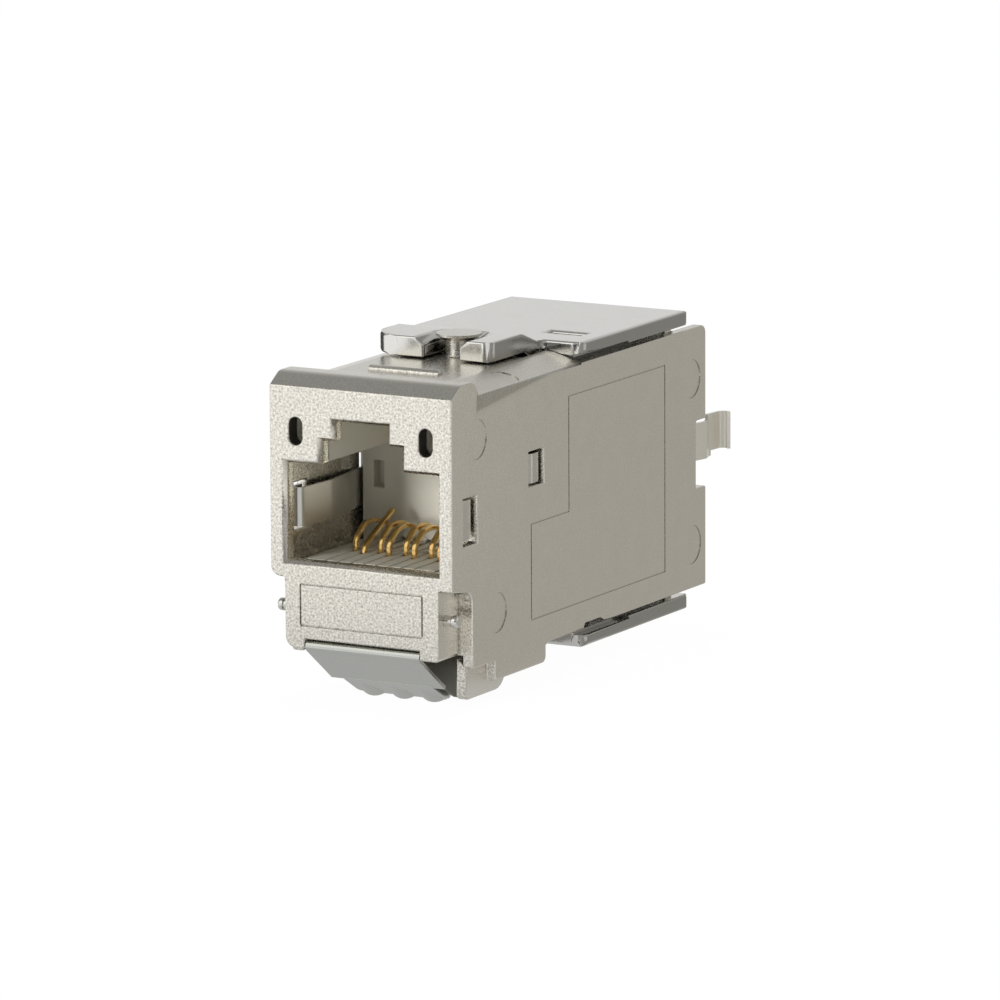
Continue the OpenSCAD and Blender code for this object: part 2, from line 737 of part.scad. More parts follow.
module terminal_block() {
    guard_t = 0.5;
    guard_h = 2.8;
    base_end = block_y + block_base_t;
    color(block_plastic)
        difference() {
            union() {
                box([-core_w / 2, block_y, mid_z - core_h / 2], [core_w / 2, base_end, mid_z + core_h / 2]);
                for (s = [-1, 1], k = [0 : row_count]) {
                    x = (k - row_count / 2) * terminal_pitch;
                    z = mid_z + s * row_rise;
                    box([x - guard_t / 2, base_end - 0.1, z - guard_h / 2],
                        [x + guard_t / 2, guard_end, z + guard_h / 2]);
                }
            }
            // Room for the contact tails, and slots for the blades
            box([contact_x(1) - tail_room, block_y - past, wire_z - tail_room],
                [contact_x(contact_count) + tail_room, block_y + 1.5 * tail_room, wire_z + tail_step + tail_room]);
            for (i = [1 : contact_count])
                box([terminal_x(i) - blade_w / 2 - 0.04, block_y - past, terminal_z(i) - blade_t / 2 - 0.04],
                    [terminal_x(i) + blade_w / 2 + 0.04, base_end + past, terminal_z(i) + blade_t / 2 + 0.04]);
        }
}

// Forked blade: tail through the board, shoulders on it, and a slot with a flared entry for the wire
module terminal(i) {
    slot = 0.18;
    flare = blade_w / 2 - 0.3;
    arm = blade_w / 2;
    root = blade_end - blade_slot_len;
    half = [
        [terminal_tail_w / 2, board_y - 0.5], [terminal_tail_w / 2, block_y + 0.05], [arm, block_y + 0.05],
        [arm, blade_end], [flare, blade_end], [slot, blade_end - blade_flare_len], [slot, root]
    ];
    mirrored = [for (k = [len(half) - 1 : -1 : 0]) [-half[k].x, half[k].y]];
    color(tin)
        translate([terminal_x(i), 0, 0])
            along_z(terminal_z(i) - blade_t / 2, terminal_z(i) + blade_t / 2)
                polygon(concat(half, mirrored));
}

// Rear cap

// Side profile of one tongue: thick fork, joggle down, thin plate and a rounded rear edge
tongue_side = [
    [fork_front, fork_z, 0.15], [fork_front, fork_top, 0.15],
    [joggle_y[0], fork_top, 1.5], [joggle_y[1], plate_top, 1.5],
    [cap_rear, plate_top, 0.5], [cap_rear, plate_z, 0.1],
    [joggle_y[1] - 1, plate_z, 0.5], [joggle_y[0] + 0.6, fork_z, 0.5]
];

// Front view of one tongue: the narrow fork over the wide plate, sloped on the left, with round long edges
tongue_front = [
    [-plate_w / 2, roof_z, 0], [plate_w / 2, roof_z, 0], [plate_w / 2, plate_top, 0.35],
    [fork_right, plate_top, 0.1], [fork_right, fork_top, 0.2], [-fork_left, fork_top, 0.2],
    [-plate_w / 2, plate_top, 0.35]
];

// Plan of one tongue: narrow fork in front with a wide round lobe on the left, wide plate behind
tongue_plan = [
    [-fork_left, fork_front, 2.4], [fork_right, fork_front, 0.8],
    [fork_right, plate_front, 0.4], [plate_w / 2, plate_front, 0.95], [plate_w / 2, cap_rear, 0.5],
    [-plate_w / 2, cap_rear, 0.5], [-plate_w / 2, plate_front + 1, 1.5], [-fork_left, joggle_y[0], 3]
];

// Slot of the fork, straight with a round end behind the post, widened by grow
function slot_plan(grow) = concat(
    [[-slot_w / 2 - grow, fork_front - past], [slot_w / 2 + grow, fork_front - past]],
    arc([0, post_y], slot_w / 2 + grow, 0, 180, 16)
);

module tongue() {
    sink_h = head_h + 0.05;
    difference() {
        intersection() {
            along_x(-plate_w / 2, plate_w / 2) polygon(outline(tongue_side));
            along_z(roof_z, fork_top + past) polygon(outline(tongue_plan));
            along_y(fork_front - past, cap_rear + past) polygon(outline(tongue_front, 4));
        }
        // Thinner long edges in front
        both_sides()
            box([inner_w + fit, 0, roof_z], [half_w + past, undercut_end, plate_z + undercut]);
        along_z(roof_z, fork_top + past) polygon(slot_plan(0));
        // Countersunk edge
        hull() {
            along_z(fork_top - sink_h, fork_top - sink_h + 0.01) polygon(slot_plan(0));
            along_z(fork_top, fork_top + 0.01) polygon(slot_plan(sink_w));
        }
    }
}

module rear_cap() {
    color(cap_metal)
        difference() {
            union() {
                tongue();
                below() tongue();
                box([-cap_wall_w / 2, cap_rear - cap_t, 2 * mid_z - plate_z - 0.3],
                    [cap_wall_w / 2, cap_rear, plate_z + 0.3]);
            }
            rod_y(cap_rear - cap_t - past, cap_rear + past, 0, mid_z, cable_d);
            along_z(plate_z - past / 2, plate_top + past)
                translate(tool_slot[0]) square(tool_slot[1] - tool_slot[0]);
        }
}

// Wire manager: a block in the cap with a cable bore, wire channels and a pair of pressers at each blade
module wire_manager() {
    manager_w = cap_wall_w - 0.3;
    rear = cap_rear - cap_t;
    bore_end = manager_y + 4.2;
    presser_w = 1.8;
    presser_t = 0.65;
    presser_gap = blade_t / 2 + 0.15;
    color(block_plastic)
        difference() {
            union() {
                box([-manager_w / 2, manager_y, 2 * mid_z - plate_z], [manager_w / 2, rear, plate_z]);
                for (i = [1 : contact_count], s = [-1, 1])
                    translate([terminal_x(i), 0, terminal_z(i) + s * (presser_gap + presser_t / 2)])
                        box([-presser_w / 2, blade_end - presser_reach, -presser_t / 2],
                            [presser_w / 2, manager_y + 0.1, presser_t / 2]);
            }
            rod_y(bore_end, rear + past, 0, mid_z, cable_d + 4 * fit);
            for (i = [1 : contact_count])
                box([terminal_x(i) - wire_w / 2, manager_y - past, min(terminal_z(i), mid_z) - 0.2],
                    [terminal_x(i) + wire_w / 2, bore_end + wire_w / 2, max(terminal_z(i), mid_z) + 0.2]);
        }
}

// Latch

// Fold of the sheet under the label plate: down from the knuckle, forward through the notch, back along the ramp
fold_y = -0.06;
fold_z = -block_drop + notch_h - 0.49;
leg_y = pin_y - knuckle_r + latch_t / 2;
ramp_end = [fold_y + ramp_len * cos(ramp_angle), fold_z - ramp_len * sin(ramp_angle)];
latch_side = [
    [leg_y, -pin_drop, 0], [leg_y, fold_z + 0.3, 0.3], [fold_y, fold_z, 0.25], [ramp_end.x, ramp_end.y, 0]
];

// Thumb tab, drawn along its own slope: a sheet with round corners and hollow ribs that rise towards its end
rib_count = 3;
rib_r = 1.5;
rib_sink = 0.12;
rib_tilt = atan((rib_h + rib_sink) / tab_len);
tab_plan = [
    [-tab_w / 2, -0.2, 0], [tab_w / 2, -0.2, 0], [tab_w / 2, tab_len, 0.4], [-tab_w / 2, tab_len, 0.4]
];

// Ribs of the tab as slanted rods, all rods narrower by less
module ribs(less) {
    for (k = [1 : rib_count])
        translate([tab_w * ((k - 0.5) / rib_count - 0.5), latch_t / 2 - rib_sink - rib_r, 0])
            rotate([-rib_tilt, 0, 0])
                translate([0, 0, -past])
                    cylinder(h = tab_len + 3 * past, r = rib_r - less);
}

module thumb_tab() {
    difference() {
        union() {
            translate([0, latch_t / 2, 0]) rotate([90, 0, 0]) linear_extrude(latch_t) polygon(outline(tab_plan));
            intersection() {
                ribs(0);
                box([-tab_w / 2, 0, 0], [tab_w / 2, rib_r, tab_len]);
            }
        }
        ribs(latch_t);
    }
}

// Side gusset of the tab, which stiffens it
gusset_end = ramp_end + tab_len * [cos(tab_angle), -sin(tab_angle)];
gusset = [
    [ramp_end.x + 0.1, ramp_end.y, 0], [gusset_end.x - 0.1, gusset_end.y, 0.1],
    [gusset_end.x + 0.7, gusset_end.y + 0.08, 0.2], [ramp_end.x + 0.5, ramp_end.y + 0.2, 0.2]
];

module latch() {
    color(spring_steel)
        difference() {
            union() {
                rod_x(-latch_w / 2, latch_w / 2, pin_y, -pin_drop, 2 * knuckle_r);
                along_x(-latch_w / 2, latch_w / 2) polygon(strip(path(latch_side), latch_t));
                translate([0, ramp_end.x, ramp_end.y]) rotate([-90 - tab_angle, 0, 0]) thumb_tab();
                both_sides()
                    along_x(tab_w / 2 - latch_t, tab_w / 2) polygon(outline(gusset, 3));
            }
            rod_x(-half_w, half_w, pin_y, -pin_drop, pin_d + 2 * pin_run);
        }
}

// Cross pin with a collar and a round-edged head on each side of the block
module latch_pin() {
    dome_r = pin_head_d / 2;
    collar_r = dome_r - 0.07;
    edge_r = 0.2;
    tip = block_w / 2 + pin_head_len;
    head_x = tip - 2 * edge_r;
    color(tin)
        translate([0, pin_y, -pin_drop])
            both_sides()
                rotate([0, 90, 0])
                    rotate_extrude()
                        polygon(concat(
                            [[0, 0], [pin_d / 2, 0], [pin_d / 2, block_w / 2], [collar_r, block_w / 2]],
                            [[collar_r, head_x - 0.1], [pin_d / 2, head_x - 0.1]],
                            [[pin_d / 2, head_x], [dome_r, head_x]],
                            arc([dome_r - edge_r, tip - edge_r], edge_r, 0, 90, 6),
                            [[0, tip]]
                        ));
}

housing();
contact_carrier();
shield_spring_left();
shield_spring_right();
for (i = [1 : contact_count])
    contact(i);
circuit_board();
terminal_block();
for (i = [1 : contact_count])
    terminal(i);
rear_cap();
wire_manager();
latch();
latch_pin();
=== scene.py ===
# %% [markdown]
# # A shielded keystone jack, dressed for a product photograph
#
# The jack is a small nickel-plated zinc casting with a plug port in front and a slide-on cap behind. Its exact
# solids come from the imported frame. This lesson keeps every solid where it is, softens its edges the way a
# casting is soft, gives each piece its finish, and lights the jack on a white table.

# %% Load the frame
import json
import math

import bmesh
import bpy
import numpy as np
from mathutils import Matrix, Vector

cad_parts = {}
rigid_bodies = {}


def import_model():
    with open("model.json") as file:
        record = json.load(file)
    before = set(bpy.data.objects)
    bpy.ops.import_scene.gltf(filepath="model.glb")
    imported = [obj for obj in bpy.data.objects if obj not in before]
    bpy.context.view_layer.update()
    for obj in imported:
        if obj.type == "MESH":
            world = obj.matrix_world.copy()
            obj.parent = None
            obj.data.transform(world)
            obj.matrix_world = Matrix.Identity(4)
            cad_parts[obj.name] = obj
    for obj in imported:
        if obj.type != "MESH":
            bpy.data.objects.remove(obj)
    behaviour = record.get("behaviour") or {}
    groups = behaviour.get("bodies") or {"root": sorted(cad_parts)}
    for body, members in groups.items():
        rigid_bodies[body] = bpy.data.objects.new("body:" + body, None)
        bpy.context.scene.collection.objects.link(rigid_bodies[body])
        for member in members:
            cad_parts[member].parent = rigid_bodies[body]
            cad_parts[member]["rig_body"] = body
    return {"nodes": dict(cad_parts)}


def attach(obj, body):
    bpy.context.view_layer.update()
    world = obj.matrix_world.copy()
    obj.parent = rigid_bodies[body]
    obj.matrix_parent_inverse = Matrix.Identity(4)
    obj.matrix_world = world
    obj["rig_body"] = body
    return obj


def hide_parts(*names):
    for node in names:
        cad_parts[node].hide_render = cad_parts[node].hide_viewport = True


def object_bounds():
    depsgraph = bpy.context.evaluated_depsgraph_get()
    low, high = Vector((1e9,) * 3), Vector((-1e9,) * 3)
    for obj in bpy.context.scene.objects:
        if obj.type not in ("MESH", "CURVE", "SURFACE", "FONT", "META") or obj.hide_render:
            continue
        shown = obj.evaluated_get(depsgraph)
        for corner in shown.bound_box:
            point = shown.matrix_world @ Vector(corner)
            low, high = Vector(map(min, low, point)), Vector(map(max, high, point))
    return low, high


MM = 0.001
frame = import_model()
cad_box = [list(corner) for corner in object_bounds()]
scene = bpy.context.scene
print("nodes:", len(frame["nodes"]), "box in mm:", [[round(c / MM, 2) for c in corner] for corner in cad_box])

# %% [markdown]
# ## Camera
#
# The photograph was taken from the right and a little above, from far away with a long lens, so parallel edges
# hardly draw together. A camera can be turned by angles, but three axes are easier to check: `back` points from
# the object to the camera, `right` lies level, and `up` follows from the two. A small roll turns the last two
# about the first. The aim point is the middle of the jack, and two small offsets place it in the picture.

# %% Camera
AZIMUTH = math.radians(28.98)
ELEVATION = math.radians(10.56)
ROLL = math.radians(-0.26)
DISTANCE = 600.4 * MM
AIM = Vector((0, 18, 0.87)) * MM
AIM_OFFSET = Vector((0.96, -2.48)) * MM
LENS = 304.35
SENSOR = 36
CLIP = (0.01, 20)


def placed(name, data):
    """A new object that holds the data, linked to the scene at the origin."""
    made = bpy.data.objects.new(name, data)
    scene.collection.objects.link(made)
    return made


def camera_axes(azimuth, elevation, roll):
    """Right, up and back of a camera that looks at the object from that azimuth and elevation, with a roll."""
    back = Vector((
        math.sin(azimuth) * math.cos(elevation),
        -math.cos(azimuth) * math.cos(elevation),
        math.sin(elevation),
    ))
    level = Vector((math.cos(azimuth), math.sin(azimuth), 0))
    over = back.cross(level)
    right = level * math.cos(roll) + over * math.sin(roll)
    up = over * math.cos(roll) - level * math.sin(roll)
    return right, up, back


right, up, back = camera_axes(AZIMUTH, ELEVATION, ROLL)
eye = AIM + back * DISTANCE + right * AIM_OFFSET.x + up * AIM_OFFSET.y
camera = placed("camera", bpy.data.cameras.new("camera"))
camera.data.lens = LENS
camera.data.sensor_width = SENSOR
camera.data.clip_start, camera.data.clip_end = CLIP
camera.matrix_world = Matrix.Translation(eye) @ Matrix((right, up, back)).transposed().to_4x4()
scene.camera = camera
scene.view_settings.view_transform = "Standard"
print("camera at", [round(c, 4) for c in eye])

# %% [markdown]
# ## Soft edges
#
# An exact solid has edges of no width, and no real casting has. Rolling over every edge would fold the surface
# where a step is too shallow for it, so an edge is rounded only if both of its faces reach well past the bevel's
# width. To find out, a row of points is laid beside the edge on either side: each has to lie on the flat face
# there, which may be made of several joined faces.

# %% Edges with room
ROOM = 2.2  # how many bevel widths a face has to reach past the edge
STEP = 0.4 * MM
LEAST_STEPS = 3
SAME_PLANE = 0.99999  # cosine of the angle between two normals
SAME_WAY = 0.8  # cosine of the angle between two edges


def flat_region(face):
    """The face and all faces that lie in its plane and are joined to it."""
    region, waiting = {face}, [face]
    while waiting:
        one = waiting.pop()
        around = {f for e in one.edges for f in e.link_faces} - region
        level = [f for f in around if f.normal.dot(face.normal) > SAME_PLANE]
        region.update(level)
        waiting.extend(level)
    return region


def has_room(edge, radius):
    """Whether points beside the edge, well past the bevel's width, still lie on both of its flat faces."""
    for loop in edge.link_loops:
        start, end = loop.vert.co, loop.link_loop_next.vert.co
        inward = loop.face.normal.cross(end - start).normalized() * ROOM * radius
        region = flat_region(loop.face)
        steps = LEAST_STEPS + int((end - start).length / STEP)
        for k in range(steps):
            point = start.lerp(end, (k + 0.5) / steps) + inward
            if not any(bmesh.geometry.intersect_face_point(f, point) for f in region):
                return False
    return True


def goes_on(edge, vert, edges):
    """Whether another of the edges carries on from vert in nearly the same direction."""
    along = (vert.co - edge.other_vert(vert).co).normalized()
    others = [e for e in vert.link_edges if e is not edge and e in edges]
    return any(along.dot((e.other_vert(vert).co - vert.co).normalized()) > SAME_WAY for e in others)


print("an edge is rounded where", ROOM, "bevel widths fit on both sides")

# %% [markdown]
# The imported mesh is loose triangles, so a copy is merged, its flat faces are joined, and each sharp edge with
# room is rolled over with a small bevel. A Bevel modifier rounds edges too, but it doesn't know which have room,
# so the bevel is made in the mesh. A weighted normal keeps the flat faces flat in the light. The copy then
# stands for the solid, in the same place. Thin stampings, such as the latch and the strips, keep their own
# solids, because a bevel would eat their sheet.

# %% Softened copies
MERGE = 0.002 * MM
FLAT = math.radians(0.3)
SHARP = math.radians(28)
SEGMENTS = 2
ROUND = 0.5  # the bevel's profile: a quarter circle


def soft_mesh(node, radius):
    """A merged copy of a CAD node's mesh, with the sharp edges that have room rounded to a radius."""
    mesh = frame["nodes"][node].data.copy()
    mesh.name = node + "_soft"
    bm = bmesh.new()
    bm.from_mesh(mesh)
    bmesh.ops.remove_doubles(bm, verts=bm.verts, dist=MERGE)
    bmesh.ops.dissolve_limit(bm, angle_limit=FLAT, verts=bm.verts, edges=bm.edges)
    bm.normal_update()
    sharp = {e for e in bm.edges if len(e.link_faces) == 2 and e.calc_face_angle(0) > SHARP}
    rounded = {e for e in sharp if has_room(e, radius)}
    short = [e for e in rounded if e.calc_length() < ROOM * radius]
    rounded -= {e for e in short if not all(goes_on(e, v, rounded) for v in e.verts)}
    for edge in bm.edges:
        edge.smooth = edge not in sharp or edge in rounded
    bmesh.ops.bevel(
        bm, geom=list(rounded), offset=radius, offset_type="OFFSET", affect="EDGES",
        segments=SEGMENTS, profile=ROUND, clamp_overlap=False, loop_slide=False,
    )
    for face in bm.faces:
        face.smooth = True
    bm.to_mesh(mesh)
    bm.free()
    print(node, "rounded edges:", len(rounded), "of", len(sharp), "faces:", len(mesh.polygons))
    return mesh


def softened(node, radius):
    """The softened copy of a CAD node, as a piece that stands for the node and moves with its body."""
    piece = placed(node + "_soft", soft_mesh(node, radius))
    normals = piece.modifiers.new("flat faces", "WEIGHTED_NORMAL")
    normals.keep_sharp = True
    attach(piece, frame["nodes"][node]["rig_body"])
    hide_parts(node)
    return piece


print("edges over", round(math.degrees(SHARP)), "degrees count as sharp")

# %% [markdown]
# ## Finishes
#
# Each finish is a small graph: a texture in the piece's own coordinates, a bump from it, and one principled
# shader. A picture of metal could be laid on instead, but that takes an unwrapped surface, and it blurs close
# up. Values that are the same all over sit on the shader itself. A helper adds a node, fills in its inputs and
# links those that come from another node, and the helpers after it are the sums that many graphs need.

# %% Graph helpers


def add(tree, kind, inputs=None, **settings):
    """A new node with its settings made and its inputs filled or linked."""
    made = tree.nodes.new(kind)
    for name, value in settings.items():
        setattr(made, name, value)
    for name, value in (inputs or {}).items():
        if isinstance(value, bpy.types.NodeSocket):
            tree.links.new(value, made.inputs[name])
        else:
            made.inputs[name].default_value = value
    return made


def calc(tree, operation, *values):
    """The result of a sum, such as ADD or MULTIPLY, on numbers."""
    return add(tree, "ShaderNodeMath", dict(enumerate(values)), operation=operation).outputs["Value"]


def vector_calc(tree, operation, *vectors):
    """The result of a sum on vectors."""
    return add(tree, "ShaderNodeVectorMath", dict(enumerate(vectors)), operation=operation).outputs["Vector"]


def part(tree, vector, axis):
    """The X, Y or Z part of a vector."""
    return add(tree, "ShaderNodeSeparateXYZ", {"Vector": vector}).outputs[axis]


def ramp(tree, value, reach, levels):
    """The first level where the value is below its reach, the second where it is past it, and evenly between."""
    inputs = {"Value": value, "From Min": reach[0], "From Max": reach[1]}
    inputs |= {"To Min": levels[0], "To Max": levels[1]}
    return add(tree, "ShaderNodeMapRange", inputs).outputs["Result"]


def either(tree, share, first, second):
    """The first number where the share is zero, and the second where it is one."""
    return add(tree, "ShaderNodeMix", {0: share, 2: first, 3: second}).outputs[0]


def empty_graph(owner):
    """The graph of a new material or world, with nothing in it."""
    owner.use_nodes = True
    owner.node_tree.nodes.clear()
    return owner.node_tree


print("helpers for graphs:", [helper.__name__ for helper in (add, calc, vector_calc, part, ramp, either)])

# %% [markdown]
# A noise gives the uneven look that all real surfaces have. Most of it lies in the middle of its range, so that
# middle is spread over the tones or roughnesses that are wanted.

# %% Surface helpers
MIDDLE = (0.3, 0.7)
ROUGHNESS_SWING = 0.05


def new_finish(name):
    """A new material, its empty graph, and the piece's own coordinates in it."""
    material = bpy.data.materials.new(name)
    tree = empty_graph(material)
    return material, tree, add(tree, "ShaderNodeTexCoord").outputs["Object"]


def noise(tree, place, size, detail=3, roughness=0.55):
    """Cloudy noise whose lumps are about size across, in metres."""
    inputs = {"Vector": place, "Scale": 1 / size, "Detail": detail, "Roughness": roughness}
    return add(tree, "ShaderNodeTexNoise", inputs).outputs["Fac"]


def spread(tree, value, low, high):
    """Maps the middle range of a noise to low and high."""
    return ramp(tree, value, MIDDLE, (low, high))


def uneven(tree, value, roughness):
    """A roughness that swings a little to both sides with a noise."""
    return spread(tree, value, roughness - ROUGHNESS_SWING, roughness + ROUGHNESS_SWING)


def tinted(tree, colour, factor):
    """A colour multiplied by a factor that varies over the surface."""
    scale = add(tree, "ShaderNodeVectorMath", {0: colour, 3: factor}, operation="SCALE")
    return scale.outputs["Vector"]


def bumped(tree, height, depth, strength=1.0):
    """A normal from a height, whose full range is depth, in metres."""
    inputs = {"Height": height, "Distance": depth, "Strength": strength}
    return add(tree, "ShaderNodeBump", inputs).outputs["Normal"]


def finished(tree, **inputs):
    """The principled shader and the output, which end every finish."""
    named = {name.replace("_", " "): value for name, value in inputs.items()}
    shader = add(tree, "ShaderNodeBsdfPrincipled", named)
    add(tree, "ShaderNodeOutputMaterial", {"Surface": shader.outputs["BSDF"]})


print("noise is spread from", MIDDLE, "and roughness swings by", ROUGHNESS_SWING)

# %% [markdown]
# ### Plated castings
#
# The casting is nickel-plated zinc. The die leaves a fine grain, which sparkles where it faces the light, over
# soft clouds of lighter and darker plate. A fine noise gives the grain's bump and its roughness, and a coarse
# one the clouds. The faces that look to the front are eroded in the die and so much coarser than the drawn
# walls: the Y part of the surface normal says how much a place looks that way, and scales the grain. The X
# part darkens the sides of the cap, as painted shade for sides that lie in shade. Ambient occlusion finds
# the grooves, steps and slots and darkens them, as painted shade. All this could be painted by hand, but the
# normal and the occlusion follow the shape by themselves.

# %% Cast nickel
TURNED = (0.5, 0.9)
OPEN = (0.15, 0.75)
CREVICE_REACH = 0.5 * MM
CREVICE_SHADE_TONE = 0.35
CREVICE_SAMPLES = 8
PLATE_CLOUD = 1.8 * MM
PLATE_TONES = (0.985, 1.015)


def facing(tree, axis, there, elsewhere):
    """One value on faces that look along an axis, either way, and another on all others."""
    normal = add(tree, "ShaderNodeTexCoord").outputs["Normal"]
    size = calc(tree, "ABSOLUTE", part(tree, normal, axis))
    return ramp(tree, size, TURNED, (elsewhere, there))


def painted_crevice_shade(tree):
    """Painted shade: one on open faces, and down to the crevice tone where the piece's own walls close in."""
    inputs = {"Distance": CREVICE_REACH}
    occlusion = add(tree, "ShaderNodeAmbientOcclusion", inputs, samples=CREVICE_SAMPLES, only_local=True)
    return ramp(tree, occlusion.outputs["AO"], OPEN, (CREVICE_SHADE_TONE, 1.0))


def cast_nickel(name, colour, roughness, grain, depth, speckle, walls, side_shade=1.0):
    """Plated casting with grain of a size and depth, speckled on the front and by a share of that on the walls.
    The sides, which look along X, keep a share of the colour as painted shade; occlusion paints shade in grooves."""
    material, tree, place = new_finish(name)
    fine = noise(tree, place, grain, detail=2)
    cloud = spread(tree, noise(tree, place, PLATE_CLOUD, detail=2), *PLATE_TONES)
    share = facing(tree, "Y", 1.0, walls)
    wave = calc(tree, "MULTIPLY", spread(tree, fine, -speckle, speckle), share)
    # Painted shade: occlusion darkens grooves and slots, and the share for the sides darkens faces that look
    # along X.
    painted_shade = calc(tree, "MULTIPLY", painted_crevice_shade(tree), facing(tree, "X", side_shade, 1.0))
    tone = calc(tree, "MULTIPLY", calc(tree, "ADD", wave, cloud), painted_shade)
    finished(
        tree, Base_Color=tinted(tree, colour, tone), Metallic=1.0,
        Roughness=uneven(tree, fine, roughness), Normal=bumped(tree, fine, depth, share),
    )
    return material


nickel_cast = cast_nickel(
    "nickel_cast", (0.79, 0.76, 0.69), roughness=0.28, grain=0.17 * MM, depth=0.020 * MM,
    speckle=0.38, walls=0.06,
)
# On the cap, the faces that look along X keep 0.55 of the colour, as painted shade.
nickel_satin = cast_nickel(
    "nickel_satin", (0.76, 0.75, 0.715), roughness=0.17, grain=0.20 * MM, depth=0.003 * MM,
    speckle=0.03, walls=0.5, side_shade=0.55,
)
print("castings:", nickel_cast.name, nickel_satin.name)

# %% [markdown]
# ### Rolled sheet and drawn wire
#
# The latch, the strips and the terminals are cut from rolled sheet, and the contacts and the pin are drawn wire.
# Rolling and drawing leave faint streaks. A picture of brushed metal would need unwrapping, and its lines would
# bend with it, so the streaks are a noise whose coordinates are squeezed along X. The shield strips get painted
# light and shade: their colour grows brighter along Y, darker in the shaded port and brighter at the rear tab,
# which stands out in the light.

# %% Sheet and wire
STREAK_WIDTH = 0.09 * MM
STREAK_SQUEEZE = (0.06, 1, 1)
STREAK_DEPTH = 0.0015 * MM
REAR = (30 * MM, 35 * MM)


def sheet_metal(name, colour, roughness, streak, rear=1.0):
    """Rolled sheet or drawn wire: streaks along X, lighter and darker by a share of the colour. Past REAR the
    colour is multiplied by rear: painted light on the end that stands out of the shaded port."""
    material, tree, place = new_finish(name)
    squeezed = add(tree, "ShaderNodeMapping", {"Vector": place, "Scale": STREAK_SQUEEZE}).outputs["Vector"]
    lines = noise(tree, squeezed, STREAK_WIDTH)
    # Painted light: the colour grows brighter past REAR, outside the shaded port.
    rear_painted_light = ramp(tree, part(tree, place, "Y"), REAR, (1.0, rear))
    tone = calc(tree, "MULTIPLY", spread(tree, lines, 1 - streak, 1 + streak), rear_painted_light)
    finished(
        tree, Base_Color=tinted(tree, colour, tone), Metallic=1.0,
        Roughness=uneven(tree, lines, roughness), Normal=bumped(tree, lines, STREAK_DEPTH),
    )
    return material


steel_latch = sheet_metal("steel_latch", (0.62, 0.63, 0.595), roughness=0.26, streak=0.02)
# A near-black steel, which is painted shade for the latch cheeks in the shadowed bay.
painted_shade_steel = sheet_metal("painted_shade_steel", (0.17, 0.165, 0.135), roughness=0.42, streak=0.06)
# The strips' rear factor of 1.42 is painted light on the rear tab; in the port they stay darker, as painted
# shade.
bright_strip = sheet_metal("bright_strip", (0.66, 0.645, 0.60), roughness=0.34, streak=0.012, rear=1.42)
bright_pin = sheet_metal("bright_pin", (0.74, 0.73, 0.69), roughness=0.20, streak=0.03)
gold_plate = sheet_metal("gold_plate", (0.74, 0.49, 0.18), roughness=0.13, streak=0.05)
tin_plate = sheet_metal("tin_plate", (0.72, 0.73, 0.74), roughness=0.30, streak=0.04)
metals = (steel_latch, painted_shade_steel, bright_strip, bright_pin, gold_plate, tin_plate)
print("sheet and wire:", [metal.name for metal in metals])

# %% [markdown]
# ### Plastics
#
# The insert behind the port and the pieces that hold the wires are moulded. The mould's spark-eroded face leaves
# a fine even grain on them, and the resin has broad faint clouds. The board's green lacquer is close enough to
# use the same graph, and so is the near-black painted shade on the walls of the light windows.

# %% Moulded plastics
MOULD_DEPTH = 0.003 * MM
RESIN_CLOUD = 2.5 * MM
RESIN_TONES = (0.96, 1.03)


def moulded_plastic(name, colour, roughness, grain):
    """Moulded plastic: a fine grain in the bump and the roughness, and broad faint clouds in the colour."""
    material, tree, place = new_finish(name)
    fine = noise(tree, place, grain)
    cloud = spread(tree, noise(tree, place, RESIN_CLOUD, detail=1), *RESIN_TONES)
    finished(
        tree, Base_Color=tinted(tree, colour, cloud),
        Roughness=uneven(tree, fine, roughness), Normal=bumped(tree, fine, MOULD_DEPTH),
    )
    return material


carrier_plastic = moulded_plastic("carrier_plastic", (0.66, 0.64, 0.555), roughness=0.45, grain=0.12 * MM)
block_plastic = moulded_plastic("block_plastic", (0.78, 0.78, 0.75), roughness=0.42, grain=0.15 * MM)
solder_mask = moulded_plastic("solder_mask", (0.03, 0.14, 0.06), roughness=0.30, grain=0.20 * MM)
# Near-black painted shade for the walls of the light windows, which lie in shadow deep in the casting.
window_painted_shade = moulded_plastic("window_painted_shade", (0.030, 0.024, 0.018), roughness=0.60, grain=0.12 * MM)
print("plastics:", carrier_plastic.name, block_plastic.name, solder_mask.name, window_painted_shade.name)

# %% [markdown]
# ## Dressing the pieces
#
# One table says how soft each piece's edges are, in millimetres, what it is finished with, and which slot of the
# record that finish belongs to. A piece could be dressed by hand, one after the other, but a table shows at a
# glance that none is forgotten. Castings are rounder than stampings, and the contacts are drawn wire.

# %% Dress every node
DRESS = {
    "housing": (0.12, nickel_cast, "cast_metal"),
    "rear_cap": (0.20, nickel_satin, "cap_metal"),
    "contact_carrier": (0.07, carrier_plastic, "carrier_plastic"),
    "shield_spring": (0, bright_strip, "strip_metal"),
    "contact": (0.06, gold_plate, "contact_gold"),
    "circuit_board": (0, solder_mask, "board"),
    "terminal_block": (0.08, block_plastic, "block_plastic"),
    "terminal": (0.05, tin_plate, "terminal_metal"),
    "wire_manager": (0.08, block_plastic, "block_plastic"),
    "latch": (0, steel_latch, "spring_steel"),
    "latch_pin": (0, bright_pin, "pin_metal"),
}


def dress_of(node):
    """The row for a node: its own name, or its name without the last word for one of a set."""
    return DRESS[node] if node in DRESS else DRESS[node.rsplit("_", 1)[0]]


for node in sorted(frame["nodes"]):
    radius, finish, slot = dress_of(node)
    piece = softened(node, radius * MM) if radius else frame["nodes"][node]
    piece.data.materials.clear()
    piece.data.materials.append(finish)

